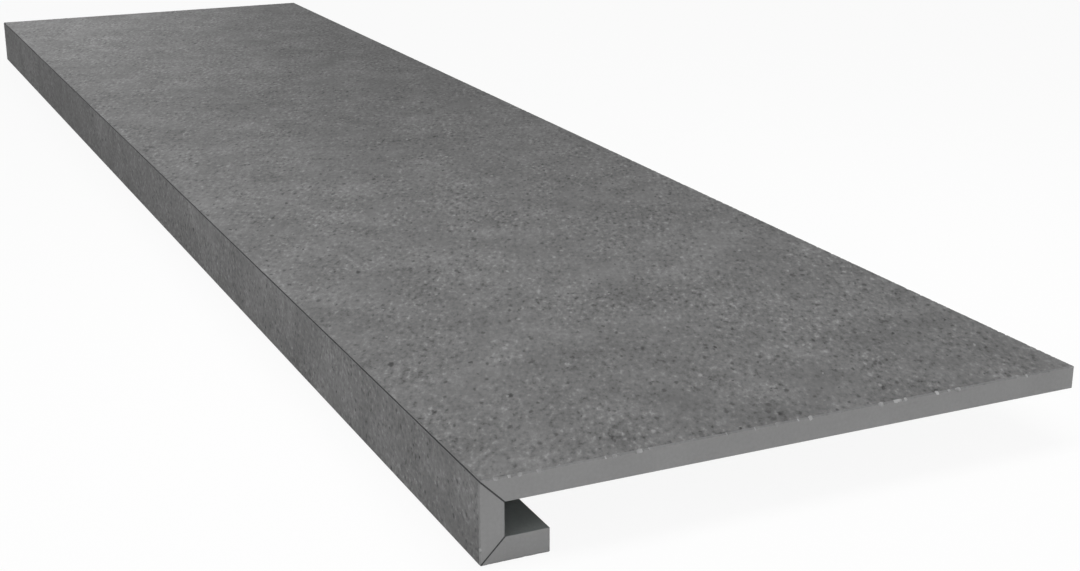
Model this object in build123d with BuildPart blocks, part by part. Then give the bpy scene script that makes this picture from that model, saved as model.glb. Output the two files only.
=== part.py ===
"""Porcelain step tile: a stone-look tread with a box nosing, mitred and glued from three cut tiles.

The tread is the walked-on tile. A front strip hangs under its front edge, and a return strip turns
back under that, so the section is a C that is open to the rear. Both outer corners are 45 degree
mitres, each closed by a thin bed of epoxy and then eased to a narrow flat.

Frame: origin under the middle of the tread at the lowest face, +X along the step, +Y from the
nosing to the back edge, +Z up. Millimetres.
"""
import os
from math import sqrt

from build123d import *

# Driving dimensions
STEP_LENGTH = 1200.0
TREAD_DEPTH = 300.0
NOSING_HEIGHT = 37.5
RETURN_DEPTH = 31.0
TILE_THICKNESS = 11.0
GLUE_THICKNESS = 0.7
ARRIS_EASE = 0.75
FACE_BEVEL = 0.4

# Places that follow from them
NOSING_FACE = -TREAD_DEPTH / 2
MITRE_WIDTH = TILE_THICKNESS * sqrt(2)

# Each mitre plane runs from an outer arris to the inner corner behind it, local +Y pointing inwards
UPPER_MITRE = Plane(origin=(0, NOSING_FACE, NOSING_HEIGHT), x_dir=(1, 0, 0), z_dir=(0, 1, 1))
LOWER_MITRE = Plane(origin=(0, NOSING_FACE, 0), x_dir=(-1, 0, 0), z_dir=(0, 1, -1))

# Each ease plane takes the sharp corner off a glued arris, its normal pointing out of the step
UPPER_EASE = Plane(
    origin=(0, NOSING_FACE + ARRIS_EASE, NOSING_HEIGHT), x_dir=(1, 0, 0), z_dir=(0, -1, 1)
)
LOWER_EASE = Plane(origin=(0, NOSING_FACE + ARRIS_EASE, 0), x_dir=(1, 0, 0), z_dir=(0, -1, -1))

# Tread: the walked-on tile, bevelled round its face and sawn to the upper mitre along its front
with BuildPart() as tread_tile:
    with BuildSketch(Plane.XY.offset(NOSING_HEIGHT - TILE_THICKNESS)):
        Rectangle(STEP_LENGTH, TREAD_DEPTH)
    extrude(amount=TILE_THICKNESS)
    walked_face = tread_tile.faces().sort_by(Axis.Z)[-1]
    chamfer(walked_face.edges().sort_by(Axis.Y)[1:], length=FACE_BEVEL)
    split(bisect_by=UPPER_MITRE.offset(GLUE_THICKNESS / 2), keep=Keep.TOP)
    split(bisect_by=UPPER_EASE, keep=Keep.BOTTOM)
tread_tile.part.label = "tread_tile"

# Front strip: the upright face of the nosing, bevelled at its ends and mitred along both long edges
with BuildPart() as front_strip:
    with BuildSketch(Plane.XZ.offset(-NOSING_FACE)):
        Rectangle(STEP_LENGTH, NOSING_HEIGHT, align=(Align.CENTER, Align.MIN))
    extrude(amount=-TILE_THICKNESS)
    upright_face = front_strip.faces().sort_by(Axis.Y)[0]
    chamfer(upright_face.edges().filter_by(Axis.Z), length=FACE_BEVEL)
    for mitre, ease in ((UPPER_MITRE, UPPER_EASE), (LOWER_MITRE, LOWER_EASE)):
        split(bisect_by=mitre.offset(-GLUE_THICKNESS / 2), keep=Keep.BOTTOM)
        split(bisect_by=ease, keep=Keep.BOTTOM)
front_strip.part.label = "front_strip"

# Return strip: the lip under the nosing, its face down, mitred along its front edge
with BuildPart() as return_strip:
    with BuildSketch(Plane(origin=(0, NOSING_FACE, 0))):
        Rectangle(STEP_LENGTH, RETURN_DEPTH, align=(Align.CENTER, Align.MIN))
    extrude(amount=TILE_THICKNESS)
    under_face = return_strip.faces().sort_by(Axis.Z)[0]
    chamfer(under_face.edges().sort_by(Axis.Y)[1:], length=FACE_BEVEL)
    split(bisect_by=LOWER_MITRE.offset(GLUE_THICKNESS / 2), keep=Keep.TOP)
    split(bisect_by=LOWER_EASE, keep=Keep.BOTTOM)
return_strip.part.label = "return_strip"

# Glue lines: the bed of epoxy in each mitre, from the eased arris to the inner corner, and trimmed
# at its two ends as the tiles beside it are bevelled
glue_lines = []
for label, mitre, ease in (
    ("upper_glue_line", UPPER_MITRE, UPPER_EASE),
    ("lower_glue_line", LOWER_MITRE, LOWER_EASE),
):
    with BuildPart() as glue_line:
        with BuildSketch(mitre):
            Rectangle(STEP_LENGTH, MITRE_WIDTH, align=(Align.CENTER, Align.MIN))
        extrude(amount=GLUE_THICKNESS / 2, both=True)
        split(bisect_by=ease, keep=Keep.BOTTOM)
        eased_face = glue_line.faces().sort_by(Axis(ease.origin, ease.z_dir))[-1]
        chamfer(eased_face.edges().sort_by(SortBy.LENGTH)[:2], length=FACE_BEVEL)
    glue_line.part.label = label
    glue_lines.append(glue_line.part)

os.makedirs("parts", exist_ok=True)
for piece in (tread_tile.part, front_strip.part, return_strip.part, *glue_lines):
    export_step(piece, f"parts/{piece.label}.step")
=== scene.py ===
"""Porcelain step tile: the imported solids, dressed, in a plain studio.

Three cut porcelain tiles and two beds of epoxy stand in for the five solids of the frame. Each tile
is sawn from a block in its own local frame, with its face up at z = 0, its length along x and its
mitred front edge at y = 0. Its face is then pressed, its arrises chipped, and it is turned into its
place in the step. Metres and radians throughout.
"""
import logging
import math
from dataclasses import dataclass
from enum import IntEnum

import bmesh
import bpy
from bmesh.types import BMEdge, BMesh, BMVert
from mathutils import Matrix, Vector, noise


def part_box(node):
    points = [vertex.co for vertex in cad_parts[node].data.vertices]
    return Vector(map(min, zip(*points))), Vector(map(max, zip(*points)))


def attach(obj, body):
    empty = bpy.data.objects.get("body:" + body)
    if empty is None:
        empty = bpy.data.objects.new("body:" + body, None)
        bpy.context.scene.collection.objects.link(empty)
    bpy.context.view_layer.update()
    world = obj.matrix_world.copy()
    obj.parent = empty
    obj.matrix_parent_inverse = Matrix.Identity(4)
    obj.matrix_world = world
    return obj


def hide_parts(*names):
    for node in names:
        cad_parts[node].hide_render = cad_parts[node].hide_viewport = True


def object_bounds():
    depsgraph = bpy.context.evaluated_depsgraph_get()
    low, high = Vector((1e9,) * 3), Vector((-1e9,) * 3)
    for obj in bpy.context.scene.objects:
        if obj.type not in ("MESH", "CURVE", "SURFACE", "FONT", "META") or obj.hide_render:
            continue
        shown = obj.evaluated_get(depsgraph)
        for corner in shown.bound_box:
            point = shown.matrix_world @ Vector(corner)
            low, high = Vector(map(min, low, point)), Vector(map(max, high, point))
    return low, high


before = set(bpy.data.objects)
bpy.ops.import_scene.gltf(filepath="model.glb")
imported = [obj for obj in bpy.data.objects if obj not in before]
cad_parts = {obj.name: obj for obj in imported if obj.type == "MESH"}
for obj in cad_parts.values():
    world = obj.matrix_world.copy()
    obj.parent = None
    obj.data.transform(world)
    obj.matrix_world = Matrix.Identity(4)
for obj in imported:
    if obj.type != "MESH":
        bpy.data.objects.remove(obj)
CAD_LOW, CAD_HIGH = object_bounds()

MM = 0.001
LOG = logging.getLogger("step_tile")

# Noise and tones lie about the middle of their range from 0 to 1
MIDDLE = 0.5
# How near to a plane a point counts as on it: for the saw, and for the arrises of a finished tile
SAW_TOLERANCE = 0.001 * MM
ARRIS_TOLERANCE = 0.01 * MM
# The share of an edge's length along a direction, from which on it runs that way
STRAIGHT = 0.99
# How far up a face looks, from which on it is level, and from which on it is an arris and no side
LEVEL = 0.9
SLOPING = 0.5
# Edges that turn by more than this stay sharp
SHARP_TURN = math.radians(28)
MITRE_ANGLE = math.radians(45)


class Role(IntEnum):
    """What a face of a cut tile is, and so which of the tile's materials it wears."""

    FACE = 0
    ARRIS = 1
    SAWN = 2
    BACK = 3
    BREAK = 4


class Axis(IntEnum):
    """The two directions of a tile's face."""

    LENGTH = 0
    WIDTH = 1


def linear(code: str) -> tuple[float, float, float, float]:
    """Turn an sRGB hex colour into Blender's linear colour.

    Args:
        code: Six hex digits, with or without a leading hash.

    Returns:
        Red, green, blue and alpha, linear.
    """
    values = [int(code.lstrip("#")[start:start + 2], 16) / 255 for start in (0, 2, 4)]
    curved = [v / 12.92 if v <= 0.04045 else ((v + 0.055) / 1.055) ** 2.4 for v in values]
    return (*curved, 1.0)


def per_metre(feature: float) -> float:
    """Return the texture scale that draws features of this size, given in metres."""
    return 1.0 / feature


def add_node(
    tree: bpy.types.NodeTree, kind: str, inputs: dict | None = None, **settings: object
) -> bpy.types.Node:
    """Add a node, with its settings, values and links.

    Args:
        tree: The node tree to add it to.
        kind: The node's type, such as ShaderNodeTexNoise.
        inputs: Input sockets by name or number, each with a value or the socket that feeds it.
        **settings: The node's own properties.

    Returns:
        The new node.
    """
    node = tree.nodes.new(kind)
    for name, value in settings.items():
        setattr(node, name, value)
    for key, value in (inputs or {}).items():
        if isinstance(value, bpy.types.NodeSocket):
            tree.links.new(value, node.inputs[key])
        else:
            node.inputs[key].default_value = value
    return node


def new_material(name: str) -> tuple[bpy.types.Material, bpy.types.NodeTree]:
    """Make an empty node material.

    Args:
        name: The material's name.

    Returns:
        The material and its node tree.
    """
    material = bpy.data.materials.new(name)
    material.use_nodes = True
    material.node_tree.nodes.clear()
    return material, material.node_tree


@dataclass(frozen=True)
class ToneLayer:
    """One scale of light and dark in the stone pattern.

    Its contrast is `calm` where the noise is weak, and `tails` more for each unit of its strength.
    """

    size: float
    weight: float
    detail: float = 2.0
    crispness: float = 0.55
    calm: float = 1.0
    tails: float = 0.0

    def pattern(self, tree: bpy.types.NodeTree, place: bpy.types.NodeSocket) -> bpy.types.NodeSocket:
        """Add the layer's noise.

        Args:
            tree: The material's node tree.
            place: The coordinates that the noise reads.

        Returns:
            The noise, about nothing, with its strong grains raised over its calm ones.
        """
        cloud = add_node(
            tree, "ShaderNodeTexNoise",
            {"Vector": place, "Scale": per_metre(self.size), "Detail": self.detail,
             "Roughness": self.crispness},
        )
        plain = add_node(
            tree, "ShaderNodeMath", {0: cloud.outputs["Fac"], 1: MIDDLE}, operation="SUBTRACT"
        ).outputs["Value"]
        strength = add_node(tree, "ShaderNodeMath", {0: plain}, operation="ABSOLUTE").outputs["Value"]
        gain = add_node(
            tree, "ShaderNodeMath", {0: strength, 1: self.tails, 2: self.calm}, operation="MULTIPLY_ADD"
        ).outputs["Value"]
        return add_node(
            tree, "ShaderNodeMath", {0: plain, 1: gain}, operation="MULTIPLY"
        ).outputs["Value"]


@dataclass(frozen=True)
class DotScatter:
    """Small ragged dots of one colour, one to a cell at most, and how deep they are sunk."""

    colour: str
    spacing: float
    radius: float
    share: float
    sunk: float
    core: float = 0.3
    ragged_detail: float = 1.0

    def mask(self, tree: bpy.types.NodeTree, place: bpy.types.NodeSocket) -> bpy.types.NodeSocket:
        """Scatter the dots.

        Args:
            tree: The material's node tree.
            place: The coordinates that the pattern reads.

        Returns:
            A mask, 1 in the core of a dot and 0 outside.
        """
        ragged = add_node(
            tree, "ShaderNodeTexNoise",
            {"Vector": place, "Scale": per_metre(self.radius), "Detail": self.ragged_detail},
        )
        moved = add_node(
            tree, "ShaderNodeVectorMath",
            {0: ragged.outputs["Color"], 1: (self.radius,) * 3, 2: place}, operation="MULTIPLY_ADD",
        )
        cells = add_node(
            tree, "ShaderNodeTexVoronoi",
            {"Vector": moved.outputs["Vector"], "Scale": per_metre(self.spacing)},
        )
        chance = add_node(tree, "ShaderNodeSeparateColor", {"Color": cells.outputs["Color"]})
        reach = add_node(
            tree, "ShaderNodeMapRange",
            {"Value": chance.outputs["Red"], "From Min": 1 - self.share, "From Max": 1.0,
             "To Min": 0.0, "To Max": self.radius / self.spacing},
        ).outputs["Result"]
        core = add_node(
            tree, "ShaderNodeMath", {0: reach, 1: self.core}, operation="MULTIPLY"
        ).outputs["Value"]
        return add_node(
            tree, "ShaderNodeMapRange",
            {"Value": cells.outputs["Distance"], "From Min": reach, "From Max": core,
             "To Min": 0.0, "To Max": 1.0},
            interpolation_type="SMOOTHSTEP",
        ).outputs["Result"]


@dataclass(frozen=True)
class PressedStoneFace:
    """Through-coloured porcelain, pressed with a fine stone relief and fired without a glaze.

    To the eye it is a dry mid grey: soft clouds, a mottle of lighter and darker grains, dark pits
    where the relief goes down and a scatter of pale specks, with only a dull sheen. The grain is drawn
    a little coarser than the pressed one, which would be too fine to show over a metre of tile.
    """

    name: str = "unglazed_porcelain_pressed_stone_face"
    dark: str = "#3e3e3e"
    body: str = "#6b6b6b"
    light: str = "#909090"
    pores: DotScatter = DotScatter("#4c4c4c", spacing=4.2 * MM, radius=1.7 * MM, share=0.75, sunk=0.6)
    pits: DotScatter = DotScatter("#3a3a3a", spacing=10 * MM, radius=2.1 * MM, share=0.35, sunk=1.5)
    specks: DotScatter = DotScatter("#8c8c8c", spacing=6.5 * MM, radius=1.6 * MM, share=0.4, sunk=0.0)
    clouds: ToneLayer = ToneLayer(110 * MM, 0.22)
    patches: ToneLayer = ToneLayer(34 * MM, 0.46)
    mottle: ToneLayer = ToneLayer(9 * MM, 0.28)
    grain: ToneLayer = ToneLayer(2.7 * MM, 1.0, detail=2.0, crispness=0.7, calm=0.5, tails=4.5)
    gather: ToneLayer = ToneLayer(24 * MM, 2.2)
    grain_stretch: float = 2.0
    grain_turn: float = math.radians(25)
    relief: float = 0.16 * MM
    roughness: tuple[float, float] = (0.64, 0.8)
    ior: float = 1.5
    specular: float = 0.25

    def material(self) -> bpy.types.Material:
        """Build the material.

        Returns:
            The material, which reads the piece's own coordinates.
        """
        material, tree = new_material(self.name)
        place = add_node(tree, "ShaderNodeTexCoord").outputs["Object"]
        along = self.grain_place(tree, place)
        tone = self.tone(tree, place, along)
        ramp = add_node(tree, "ShaderNodeValToRGB", {"Fac": tone})
        ramp.color_ramp.elements[0].color = linear(self.dark)
        ramp.color_ramp.elements[1].color = linear(self.light)
        ramp.color_ramp.elements.new(MIDDLE).color = linear(self.body)
        colour = ramp.outputs["Color"]
        height = tone
        for dots in (self.pores, self.pits, self.specks):
            mask = dots.mask(tree, along)
            colour = add_node(
                tree, "ShaderNodeMix", {"Factor": mask, "A": colour, "B": linear(dots.colour)},
                data_type="RGBA",
            ).outputs["Result"]
            height = add_node(
                tree, "ShaderNodeMath", {0: mask, 1: -dots.sunk, 2: height}, operation="MULTIPLY_ADD"
            ).outputs["Value"]
        bump = add_node(
            tree, "ShaderNodeBump", {"Strength": 1.0, "Distance": self.relief, "Height": height}
        )
        rough = add_node(
            tree, "ShaderNodeMapRange",
            {"Value": tone, "To Min": self.roughness[1], "To Max": self.roughness[0]},
        )
        shader = add_node(
            tree, "ShaderNodeBsdfPrincipled",
            {
                "Base Color": colour,
                "Roughness": rough.outputs["Result"],
                "IOR": self.ior,
                "Specular IOR Level": self.specular,
                "Normal": bump.outputs["Normal"],
            },
        )
        add_node(tree, "ShaderNodeOutputMaterial", {"Surface": shader.outputs["BSDF"]})
        return material

    def grain_place(
        self, tree: bpy.types.NodeTree, place: bpy.types.NodeSocket
    ) -> bpy.types.NodeSocket:
        """Turn and stretch the piece's coordinates, so that the grain runs along the tile.

        Args:
            tree: The material's node tree.
            place: The piece's own coordinates.

        Returns:
            The coordinates that the grain and the dots read.
        """
        turned = add_node(
            tree, "ShaderNodeMapping", {"Vector": place, "Rotation": (0, 0, self.grain_turn)}
        ).outputs["Vector"]
        return add_node(
            tree, "ShaderNodeMapping", {"Vector": turned, "Scale": (1 / self.grain_stretch, 1, 1)}
        ).outputs["Vector"]

    def tone(
        self, tree: bpy.types.NodeTree, place: bpy.types.NodeSocket, along: bpy.types.NodeSocket
    ) -> bpy.types.NodeSocket:
        """Add up clouds, patches, mottle and grain to one tone about a half.

        Args:
            tree: The material's node tree.
            place: The piece's own coordinates, for the clouds and patches.
            along: The stretched ones, for what is finer.

        Returns:
            The tone, 0 for the darkest body colour and 1 for the lightest.
        """
        gathered = add_node(
            tree, "ShaderNodeMath",
            {0: self.gather.pattern(tree, along), 1: self.gather.weight, 2: self.grain.weight},
            operation="MULTIPLY_ADD",
        ).outputs["Value"]
        tone: bpy.types.NodeSocket | float = MIDDLE
        layers = (
            (self.clouds, place, self.clouds.weight),
            (self.patches, place, self.patches.weight),
            (self.mottle, along, self.mottle.weight),
            (self.grain, along, gathered),
        )
        for layer, where, weight in layers:
            tone = add_node(
                tree, "ShaderNodeMath", {0: layer.pattern(tree, where), 1: weight, 2: tone},
                operation="MULTIPLY_ADD",
            ).outputs["Value"]
        return tone


@dataclass(frozen=True)
class EvenGrainFinish:
    """A surface of one even grain: bare porcelain that no pattern was pressed into, or epoxy.

    The real grit is far finer. It is drawn as coarse as it needs to show.
    """

    name: str
    dark: str
    light: str
    grain_size: float = 1.6 * MM
    grain_detail: float = 3.0
    streak_size: float = 26 * MM
    streak_detail: float = 2.0
    streak_share: float = 0.5
    grit: float = 0.02 * MM
    spread: tuple[float, float] = (0.3, 0.7)
    roughness: float = 0.6
    ior: float = 1.5
    specular: float = 0.3

    def material(self) -> bpy.types.Material:
        """Build the material.

        Returns:
            The material, which reads the piece's own coordinates.
        """
        material, tree = new_material(self.name)
        place = add_node(tree, "ShaderNodeTexCoord").outputs["Object"]
        grain = add_node(
            tree, "ShaderNodeTexNoise",
            {"Vector": place, "Scale": per_metre(self.grain_size), "Detail": self.grain_detail},
        )
        streak = add_node(
            tree, "ShaderNodeTexNoise",
            {"Vector": place, "Scale": per_metre(self.streak_size), "Detail": self.streak_detail},
        )
        both = add_node(
            tree, "ShaderNodeMix",
            {"Factor": self.streak_share, "A": grain.outputs["Fac"], "B": streak.outputs["Fac"]},
            data_type="FLOAT",
        )
        ramp = add_node(tree, "ShaderNodeValToRGB", {"Fac": both.outputs["Result"]})
        ramp.color_ramp.elements[0].color = linear(self.dark)
        ramp.color_ramp.elements[0].position = self.spread[0]
        ramp.color_ramp.elements[1].color = linear(self.light)
        ramp.color_ramp.elements[1].position = self.spread[1]
        bump = add_node(
            tree, "ShaderNodeBump",
            {"Strength": 1.0, "Distance": self.grit, "Height": grain.outputs["Fac"]},
        )
        shader = add_node(
            tree, "ShaderNodeBsdfPrincipled",
            {
                "Base Color": ramp.outputs["Color"],
                "Roughness": self.roughness,
                "IOR": self.ior,
                "Specular IOR Level": self.specular,
                "Normal": bump.outputs["Normal"],
            },
        )
        add_node(tree, "ShaderNodeOutputMaterial", {"Surface": shader.outputs["BSDF"]})
        return material


# Cut by a wet diamond saw: smooth, even, and a shade lighter than the face
SAWN_END = EvenGrainFinish("porcelain_sawn_end", dark="#868686", light="#909090")
# Rubbed down by hand: between the face and the sawn end, so the edge of the face reads soft
GROUND_ARRIS = EvenGrainFinish("porcelain_ground_arris", dark="#707070", light="#868686", roughness=0.7)
# Freshly broken: rough and pale, so each small break is a light fleck on the arris
BROKEN_ARRIS = EvenGrainFinish(
    "porcelain_broken_arris", dark="#808080", light="#a8a8a8", grain_size=4.0 * MM, streak_size=10 * MM,
    spread=(0.4, 0.6), roughness=0.8, grit=0.05 * MM,
)
# Fired lying on the kiln's rollers: dull and dusty, with a trace of green
FIRED_BACK = EvenGrainFinish("porcelain_fired_back", dark="#8e9291", light="#9a9e9d", roughness=0.8)
# Tinted dark and scraped flush: a thin line, nearly black, a little smoother than the tiles beside it
SCRAPED_EPOXY = EvenGrainFinish(
    "epoxy_tinted_scraped_flush", dark="#2e2e2f", light="#3c3c3e", roughness=0.5, grit=0.01 * MM
)


@dataclass(frozen=True)
class StepSizes:
    """Sizes that the tiles share: read from the frame, or as its solids have them."""

    length: float = CAD_HIGH.x - CAD_LOW.x
    depth: float = CAD_HIGH.y - CAD_LOW.y
    height: float = CAD_HIGH.z - CAD_LOW.z
    thickness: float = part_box("tread_tile")[1].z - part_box("tread_tile")[0].z
    return_depth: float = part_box("return_strip")[1].y - CAD_LOW.y
    nosing_face: float = CAD_LOW.y
    underside: float = CAD_LOW.z
    top: float = CAD_HIGH.z
    glue: float = 0.7 * MM
    ease: float = 0.75 * MM
    bevel: float = 0.4 * MM


SIZES = StepSizes()


@dataclass(frozen=True)
class StoneRelief:
    """The relief pressed into a tile's face, as a depth below its flat."""

    swell_size: float = 55 * MM
    swell_depth: float = 0.10 * MM
    lump_size: float = 7 * MM
    lump_depth: float = 0.12 * MM

    def depth(self, place: Vector) -> float:
        """Work out the relief at a place of the face.

        Args:
            place: Where the relief's pattern is read.

        Returns:
            How far the face lies below its flat there, never less than nothing.
        """
        swell = self.swell_depth * (1 + noise.noise(place / self.swell_size))
        lump = self.lump_depth * (1 + noise.noise(place / self.lump_size))
        return max(0.0, swell + lump) / 2


@dataclass(frozen=True)
class ArrisChips:
    """The wear of an arris of the face: a fine raggedness all along it, and small breaks.

    A whole unit of depth takes `reach` off the face and `drop` off the side.
    """

    length: float = 2.8 * MM
    reach: float = 1.6 * MM
    drop: float = 2.2 * MM
    wear: float = 0.1
    rarity: float = 0.06
    ragged_share: float = 0.4
    ragged_parts: int = 3

    def size(self, place: Vector) -> float:
        """Work out the wear at a place of the arris.

        Args:
            place: Where the chip pattern is read.

        Returns:
            How deep the arris is worn or broken there, from 0 for whole to about 1.
        """
        coarse = noise.noise(place / self.length)
        fine = noise.noise(place / (self.length / self.ragged_parts))
        return max(self.wear * (1 + fine), coarse + self.ragged_share * fine - self.rarity)

    def is_break(self, depth: float) -> bool:
        """Tell whether a depth is more than plain wear can reach."""
        return depth > 2 * self.wear


TREAD_CHIPS = ArrisChips()
STRIP_CHIPS = ArrisChips(reach=0.9 * MM, drop=1.2 * MM)


def runs_along(edge: BMEdge, axis: Axis) -> bool:
    """Tell whether an edge lies along one of the face's directions."""
    span = edge.verts[1].co - edge.verts[0].co
    return abs(span[axis]) > STRAIGHT * span.length


def roles_of(item: BMEdge | BMVert) -> set[Role]:
    """Return the roles of the faces that meet at an edge or a point."""
    return {Role(face.material_index) for face in item.link_faces}


def saw(mesh: BMesh, point: Vector, outward: Vector) -> None:
    """Cut a solid by a plane, throw away what lies outside, and close the cut.

    Args:
        mesh: The solid.
        point: A point of the cutting plane.
        outward: The plane's normal, out of the part that stays.
    """
    everything = [*mesh.verts, *mesh.edges, *mesh.faces]
    cut = bmesh.ops.bisect_plane(
        mesh, geom=everything, dist=SAW_TOLERANCE, plane_co=point, plane_no=outward, clear_outer=True
    )
    rim = [item for item in cut["geom_cut"] if isinstance(item, BMEdge)]
    bmesh.ops.edgeloop_fill(mesh, edges=rim)


def place_piece(
    mesh: BMesh, name: str, node: str, materials: list[bpy.types.Material]
) -> bpy.types.Object:
    """Turn a finished mesh into a piece of the object and free it.

    Args:
        mesh: The mesh, in its place.
        name: The piece's name.
        node: The solid of the frame that it stands for.
        materials: Its materials, in the order of its faces' numbers.

    Returns:
        The new object.
    """
    data = bpy.data.meshes.new(name)
    mesh.to_mesh(data)
    mesh.free()
    for material in materials:
        data.materials.append(material)
    piece = bpy.data.objects.new(name, data)
    bpy.context.scene.collection.objects.link(piece)
    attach(piece, "root")
    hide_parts(node)
    return piece


def shade_smooth(mesh: BMesh) -> None:
    """Shade a mesh smooth, but for its sharp edges.

    Args:
        mesh: The finished mesh.
    """
    mesh.normal_update()
    for face in mesh.faces:
        face.smooth = True
    for edge in mesh.edges:
        edge.smooth = edge.calc_face_angle(0.0) < SHARP_TURN


@dataclass
class CutTile:
    """A porcelain tile sawn from a larger one: pressed face, bevelled arrises, mitred front edge."""

    name: str
    node: str
    width: float
    grid: float
    sizes: StepSizes = SIZES
    relief: StoneRelief = StoneRelief()
    chips: ArrisChips = TREAD_CHIPS
    arris_cuts: int = 2
    edge_relief: float = 0.3
    edge_fade: float = 5 * MM
    mitred_far_edge: bool = False

    def placement(self) -> Matrix:
        """Return the turn and the move from the tile's own frame to its place in the step."""
        raise NotImplementedError

    def build(self, materials: list[bpy.types.Material]) -> bpy.types.Object:
        """Saw, press and chip the tile, and set it in its place.

        Args:
            materials: A material for each role.

        Returns:
            The finished piece.
        """
        mesh = bmesh.new()
        self.saw_block(mesh)
        self.mark_roles(mesh)
        self.press_back(mesh)
        self.lay_grid(mesh)
        self.press_face(mesh)
        shade_smooth(mesh)
        bmesh.ops.transform(mesh, matrix=self.placement(), verts=mesh.verts)
        return place_piece(mesh, self.name, self.node, materials)

    def saw_block(self, mesh: BMesh) -> None:
        """Make the block, bevel the open arrises of its face, and saw its mitres and their eases.

        Args:
            mesh: The empty mesh that takes the block.
        """
        size = self.sizes
        block = Vector((size.length, self.width, size.thickness))
        bmesh.ops.create_cube(mesh, size=1.0)
        bmesh.ops.scale(mesh, vec=block, verts=mesh.verts)
        bmesh.ops.translate(mesh, vec=(0, block.y / 2, -block.z / 2), verts=mesh.verts)
        face = max(mesh.faces, key=lambda f: f.calc_center_median().z)
        glued = [0.0, self.width] if self.mitred_far_edge else [0.0]
        arrises = [
            edge for edge in face.edges
            if all(abs(sum(v.co.y for v in edge.verts) / 2 - y) > size.ease for y in glued)
        ]
        bmesh.ops.bevel(
            mesh, geom=arrises, offset=size.bevel, offset_type="OFFSET", segments=1, profile=0.5,
            affect="EDGES", material=-1,
        )
        for y in glued:
            inward = 1.0 if y == 0.0 else -1.0
            saw(mesh, Vector((0, y + inward * size.glue / math.sqrt(2), 0)), Vector((0, -inward, -1)))
            saw(mesh, Vector((0, y + inward * size.ease, 0)), Vector((0, -inward, 1)))

    def mark_roles(self, mesh: BMesh) -> None:
        """Give each face its role by the direction that it looks in.

        Args:
            mesh: The sawn block.
        """
        mesh.normal_update()
        for face in mesh.faces:
            up = face.normal.z
            if up > LEVEL:
                face.material_index = Role.FACE
            elif up > SLOPING:
                face.material_index = Role.ARRIS
            elif up > -LEVEL:
                face.material_index = Role.SAWN
            else:
                face.material_index = Role.BACK

    def press_back(self, mesh: BMesh) -> None:
        """Leave the back plain, as a narrow strip's is."""

    def lay_grid(self, mesh: BMesh) -> None:
        """Divide the face and its arrises into a grid, and the arrises again, finely enough to chip.

        Args:
            mesh: The block, with its roles marked.
        """
        for axis, extent in ((Axis.LENGTH, self.sizes.length), (Axis.WIDTH, self.width)):
            lines = [
                edge for edge in mesh.edges
                if runs_along(edge, axis) and roles_of(edge) & {Role.FACE, Role.ARRIS}
            ]
            bmesh.ops.subdivide_edges(
                mesh, edges=lines, cuts=round(extent / self.grid) - 1, use_grid_fill=True
            )
        borders = [
            edge for edge in mesh.edges
            if Role.ARRIS in roles_of(edge) and len(roles_of(edge)) == 2
            and edge.calc_length() > self.grid / 2
        ]
        bmesh.ops.subdivide_edges(mesh, edges=borders, cuts=self.arris_cuts)

    def press_face(self, mesh: BMesh) -> None:
        """Press the relief into the face and break small chips out of its arrises.

        Args:
            mesh: The block, with its grid laid.
        """
        seed = Vector((0, 0, self.width))
        broken: set[BMVert] = set()
        for vert in mesh.verts:
            roles = roles_of(vert)
            place = vert.co + seed
            if Role.FACE in roles:
                share = 1.0 if len(roles) == 1 else self.edge_relief
                vert.co.z -= share * self.relief.depth(place)
            if Role.ARRIS in roles and self.chip(vert, place, Role.FACE in roles):
                broken.add(vert)
        for face in mesh.faces:
            mostly_broken = len(broken.intersection(face.verts)) > len(face.verts) / 2
            if face.material_index == Role.ARRIS and mostly_broken:
                face.material_index = Role.BREAK

    def chip(self, vert: BMVert, place: Vector, upper: bool) -> bool:
        """Move a point of an arris back into the tile.

        Args:
            vert: The point.
            place: Where the chip pattern is read.
            upper: Whether the point is on the face, where it moves along the face, or at the foot of
                the bevel, where it moves down the side.

        Returns:
            Whether the arris is broken there.
        """
        size = self.sizes
        end = size.length / 2
        from_end = end - abs(vert.co.x)
        from_back = self.width - vert.co.y
        from_front = vert.co.y
        reach = size.bevel + ARRIS_TOLERANCE
        at_end = from_end < reach
        at_back = from_back < reach and not self.mitred_far_edge
        if not (at_end or at_back):
            return False
        along = min(from_front, from_back) if at_end else from_end
        depth = self.chips.size(place) * min(1.0, along / self.edge_fade)
        if not upper:
            vert.co.z -= self.chips.drop * depth
        elif at_end:
            vert.co.x -= math.copysign(self.chips.reach * depth, vert.co.x)
        else:
            vert.co.y -= self.chips.reach * depth
        return self.chips.is_break(depth)


@dataclass
class TreadTile(CutTile):
    """The walked-on tile, face up, with a keyed back that the adhesive grips."""

    name: str = "tread_porcelain"
    node: str = "tread_tile"
    width: float = SIZES.depth
    grid: float = 2.1 * MM
    cell: float = 20 * MM
    rib: float = 4 * MM
    key_depth: float = 0.6 * MM

    def placement(self) -> Matrix:
        """Return the move to the top of the step."""
        return Matrix.Translation((0, self.sizes.nosing_face, self.sizes.top))

    def press_back(self, mesh: BMesh) -> None:
        """Press a grid of shallow square cells into the back.

        Args:
            mesh: The block, with its roles marked.
        """
        back_width = self.width - self.sizes.thickness
        for axis, extent in ((Axis.LENGTH, self.sizes.length), (Axis.WIDTH, back_width)):
            lines = [
                edge for edge in mesh.edges if runs_along(edge, axis) and Role.BACK in roles_of(edge)
            ]
            bmesh.ops.subdivide_edges(
                mesh, edges=lines, cuts=round(extent / self.cell) - 1, use_grid_fill=True
            )
        cells = [face for face in mesh.faces if face.material_index == Role.BACK]
        bmesh.ops.inset_individual(mesh, faces=cells, thickness=self.rib / 2, depth=0.0)
        bmesh.ops.inset_individual(mesh, faces=cells, thickness=self.key_depth, depth=-self.key_depth)


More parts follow.
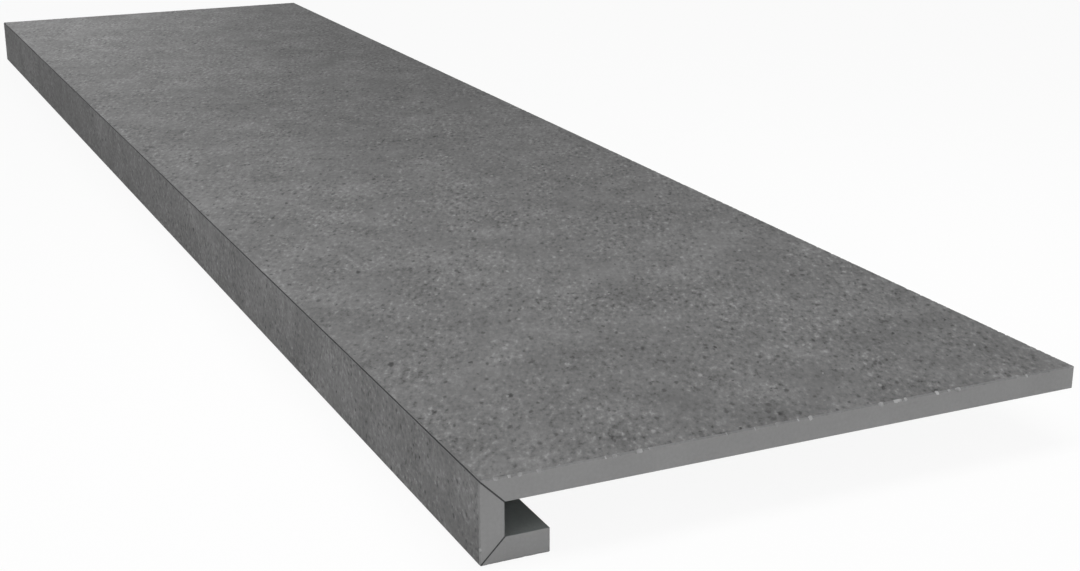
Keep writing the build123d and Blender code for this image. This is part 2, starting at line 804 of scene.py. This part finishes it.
@dataclass
class FrontStrip(CutTile):
    """The upright strip of the nosing, face out, mitred along both long edges."""

    name: str = "front_strip_porcelain"
    node: str = "front_strip"
    width: float = SIZES.height
    grid: float = 1.0 * MM
    chips: ArrisChips = STRIP_CHIPS
    mitred_far_edge: bool = True

    def placement(self) -> Matrix:
        """Return the quarter turn that stands the strip up, and its move to the nosing's face."""
        move = Matrix.Translation((0, self.sizes.nosing_face, self.sizes.underside))
        return move @ Matrix.Rotation(math.pi / 2, 4, "X")


@dataclass
class ReturnStrip(CutTile):
    """The lip that turns back under the nosing, face down."""

    name: str = "return_strip_porcelain"
    node: str = "return_strip"
    width: float = SIZES.return_depth
    grid: float = 2.0 * MM
    chips: ArrisChips = STRIP_CHIPS

    def placement(self) -> Matrix:
        """Return the half turn that lays the strip face down, and its move under the nosing."""
        move = Matrix.Translation((0, self.sizes.nosing_face, self.sizes.underside))
        return move @ Matrix.Rotation(math.pi, 4, "Y")


@dataclass
class GlueLine:
    """The bed of epoxy in a mitre, scraped a little hollow along the arris.

    It starts from the arris at `level`, and `slope` is how far it rises behind that, in radians.
    """

    name: str
    node: str
    level: float
    slope: float
    sizes: StepSizes = SIZES
    step: float = 4 * MM
    hollow: float = 0.12 * MM
    wave: float = 14 * MM

    def build(self, material: bpy.types.Material) -> bpy.types.Object:
        """Make the bed, scrape its eased edge and set it in its mitre.

        Args:
            material: The epoxy.

        Returns:
            The finished piece.
        """
        size = self.sizes
        start = size.ease / math.sqrt(2)
        width = size.thickness * math.sqrt(2) - start
        mesh = bmesh.new()
        bmesh.ops.create_cube(mesh, size=1.0)
        bmesh.ops.scale(mesh, vec=(size.length, width, size.glue), verts=mesh.verts)
        bmesh.ops.translate(mesh, vec=(0, width / 2 + start, 0), verts=mesh.verts)
        corners = [
            edge for edge in mesh.edges
            if all(vert.co.y < start + size.bevel for vert in edge.verts)
            and not runs_along(edge, Axis.LENGTH)
        ]
        bmesh.ops.bevel(
            mesh, geom=corners, offset=size.bevel, offset_type="OFFSET", segments=1, profile=0.5,
            affect="EDGES", material=-1,
        )
        lines = [edge for edge in mesh.edges if runs_along(edge, Axis.LENGTH)]
        bmesh.ops.subdivide_edges(
            mesh, edges=lines, cuts=round(size.length / self.step) - 1, use_grid_fill=True
        )
        for vert in mesh.verts:
            if vert.co.y < start + size.bevel / 2:
                place = Vector((vert.co.x, self.level, 0)) / self.wave
                vert.co.y += self.hollow * (1 + noise.noise(place)) / 2
        shade_smooth(mesh)
        move = Matrix.Translation((0, size.nosing_face, self.level))
        turn = Matrix.Rotation(self.slope, 4, "X")
        bmesh.ops.transform(mesh, matrix=move @ turn, verts=mesh.verts)
        return place_piece(mesh, self.name, self.node, [material])


@dataclass(frozen=True)
class SoftBox:
    """A rectangular studio lamp: power in watts, sides, place, and the point that it looks at."""

    name: str
    power: float
    size: tuple[float, float]
    place: tuple[float, float, float]
    aim: tuple[float, float, float]

    def hang(self) -> None:
        """Add the lamp to the scene, turned towards its aim."""
        data = bpy.data.lights.new(self.name, "AREA")
        data.shape = "RECTANGLE"
        data.energy = self.power
        data.size, data.size_y = self.size
        lamp = bpy.data.objects.new(self.name, data)
        bpy.context.scene.collection.objects.link(lamp)
        lamp.location = self.place
        sight = Vector(self.aim) - lamp.location
        lamp.rotation_euler = sight.to_track_quat("-Z", "Y").to_euler()


# Lights the walked-on face, most of all its near half
OVERHEAD_LAMP = SoftBox("overhead_lamp", 4.4, (0.3, 0.8), (0.46, 0.02, 0.82), (0.46, 0.02, 0.0))
# Lights the nosing's face
FRONT_LAMP = SoftBox("front_lamp", 10.6, (1.6, 1.6), (0.9, -2.0, 0.95), (0.0, 0.0, 0.0))
# Stands low beyond the near end, so that the sawn ends are bright and the channel stays dark
END_LAMP = SoftBox("end_lamp", 9.8, (0.8, 0.25), (2.6, -0.3, 0.25), (CAD_HIGH.x, 0.0, 0.02))
# Stands past the far end, and gives the face its dull sheen there
FAR_LAMP = SoftBox("far_lamp", 38.0, (0.9, 0.8), (-4.0, 0.4, 0.75), (CAD_LOW.x, CAD_LOW.y, CAD_HIGH.z))


@dataclass
class Studio:
    """A plain pale floor, four soft lamps, and the photograph's camera.

    The lens and the sensor are in millimetres, as Blender has them.
    """

    floor_radius: float = 24.0
    floor_sides: int = 96
    floor_gap: float = 0.2 * MM
    floor_colour: str = "#f2f2f2"
    white_share: float = 0.92
    camera_place: tuple[float, float, float] = (1.167181, -0.389502, 0.320379)
    camera_azimuth: float = math.radians(64.862)
    camera_elevation: float = math.radians(18.171)
    lens: float = 57.098
    sensor: float = 36.0
    horizon: float = 0.3
    zenith: float = 0.33
    zenith_height: float = 0.7
    lamps: tuple[SoftBox, ...] = (OVERHEAD_LAMP, FRONT_LAMP, END_LAMP, FAR_LAMP)

    def build(self) -> bpy.types.Object:
        """Set up the world, the lamps, the camera and the floor.

        Returns:
            The floor.
        """
        self.light_world()
        for lamp in self.lamps:
            lamp.hang()
        self.place_camera()
        return self.lay_floor()

    def light_world(self) -> None:
        """Light everything softly, more from above than from the horizon."""
        world = bpy.data.worlds.new("studio_world")
        world.use_nodes = True
        bpy.context.scene.world = world
        tree = world.node_tree
        tree.nodes.clear()
        looking = add_node(tree, "ShaderNodeTexCoord").outputs["Generated"]
        height = add_node(tree, "ShaderNodeSeparateXYZ", {"Vector": looking}).outputs["Z"]
        level = add_node(
            tree, "ShaderNodeMapRange",
            {"Value": height, "From Min": 0.0, "From Max": self.zenith_height,
             "To Min": self.horizon, "To Max": self.zenith},
            interpolation_type="SMOOTHSTEP",
        )
        sky = add_node(
            tree, "ShaderNodeBackground",
            {"Color": linear("#ffffff"), "Strength": level.outputs["Result"]},
        )
        add_node(tree, "ShaderNodeOutputWorld", {"Surface": sky.outputs["Background"]})

    def place_camera(self) -> None:
        """Stand the camera where the photograph was taken from."""
        data = bpy.data.cameras.new("photo_camera")
        data.lens = self.lens
        data.sensor_width = self.sensor
        camera = bpy.data.objects.new("photo_camera", data)
        bpy.context.scene.collection.objects.link(camera)
        turn = self.camera_azimuth
        rise = self.camera_elevation
        back = Vector(
            (math.sin(turn) * math.cos(rise), -math.cos(turn) * math.cos(rise), math.sin(rise))
        )
        camera.location = self.camera_place
        camera.rotation_euler = (-back).to_track_quat("-Z", "Y").to_euler()
        bpy.context.scene.camera = camera

    def lay_floor(self) -> bpy.types.Object:
        """Lay a wide pale floor that looks white and still takes the object's shadow.

        Returns:
            The floor.
        """
        mesh = bmesh.new()
        bmesh.ops.create_circle(
            mesh, cap_ends=True, segments=self.floor_sides, radius=self.floor_radius
        )
        bmesh.ops.translate(mesh, vec=(0, 0, CAD_LOW.z - self.floor_gap), verts=mesh.verts)
        data = bpy.data.meshes.new("studio_floor")
        mesh.to_mesh(data)
        mesh.free()
        data.materials.append(self.floor_material())
        floor = bpy.data.objects.new("studio_floor", data)
        bpy.context.scene.collection.objects.link(floor)
        return floor

    def floor_material(self) -> bpy.types.Material:
        """Mix matt paper with white that only the camera, reflections and clear things see.

        Returns:
            The material.
        """
        material, tree = new_material("studio_white_paper")
        path = add_node(tree, "ShaderNodeLightPath").outputs
        seen = add_node(
            tree, "ShaderNodeMath", {0: path["Is Camera Ray"], 1: path["Is Glossy Ray"]},
            operation="ADD",
        )
        seen = add_node(
            tree, "ShaderNodeMath", {0: seen.outputs["Value"], 1: path["Is Transmission Ray"]},
            operation="ADD",
        )
        share = add_node(
            tree, "ShaderNodeMath", {0: seen.outputs["Value"], 1: self.white_share},
            operation="MULTIPLY", use_clamp=True,
        )
        paper = add_node(tree, "ShaderNodeBsdfDiffuse", {"Color": linear(self.floor_colour)})
        white = add_node(tree, "ShaderNodeEmission", {"Strength": 1.0})
        mixed = add_node(
            tree, "ShaderNodeMixShader",
            {0: share.outputs["Value"], 1: paper.outputs["BSDF"], 2: white.outputs["Emission"]},
        )
        add_node(tree, "ShaderNodeOutputMaterial", {"Surface": mixed.outputs["Shader"]})
        return material


def main() -> None:
    """Build the step tile piece by piece, then the studio round it."""
    logging.basicConfig(level=logging.INFO, format="%(name)s: %(message)s")
    bpy.context.scene.view_settings.view_transform = "Standard"
    tread_face = PressedStoneFace().material()
    strip_face = PressedStoneFace("unglazed_porcelain_pressed_stone_strip", grain_stretch=1.0).material()
    # The other materials of a tile, in the order of its roles
    others = [finish.material() for finish in (GROUND_ARRIS, SAWN_END, FIRED_BACK, BROKEN_ARRIS)]
    for tile, face in ((TreadTile(), tread_face), (FrontStrip(), strip_face), (ReturnStrip(), strip_face)):
        piece = tile.build([face, *others])
        LOG.info("%s: %d faces", piece.name, len(piece.data.polygons))
    epoxy = SCRAPED_EPOXY.material()
    glue_lines = (
        GlueLine("upper_glue_epoxy", "upper_glue_line", SIZES.top, -MITRE_ANGLE),
        GlueLine("lower_glue_epoxy", "lower_glue_line", SIZES.underside, MITRE_ANGLE),
    )
    for line in glue_lines:
        piece = line.build(epoxy)
        LOG.info("%s: %d faces", piece.name, len(piece.data.polygons))
    floor = Studio().build()
    LOG.info("%s laid, lamps and camera placed", floor.name)


if __name__ == "__main__":
    main()
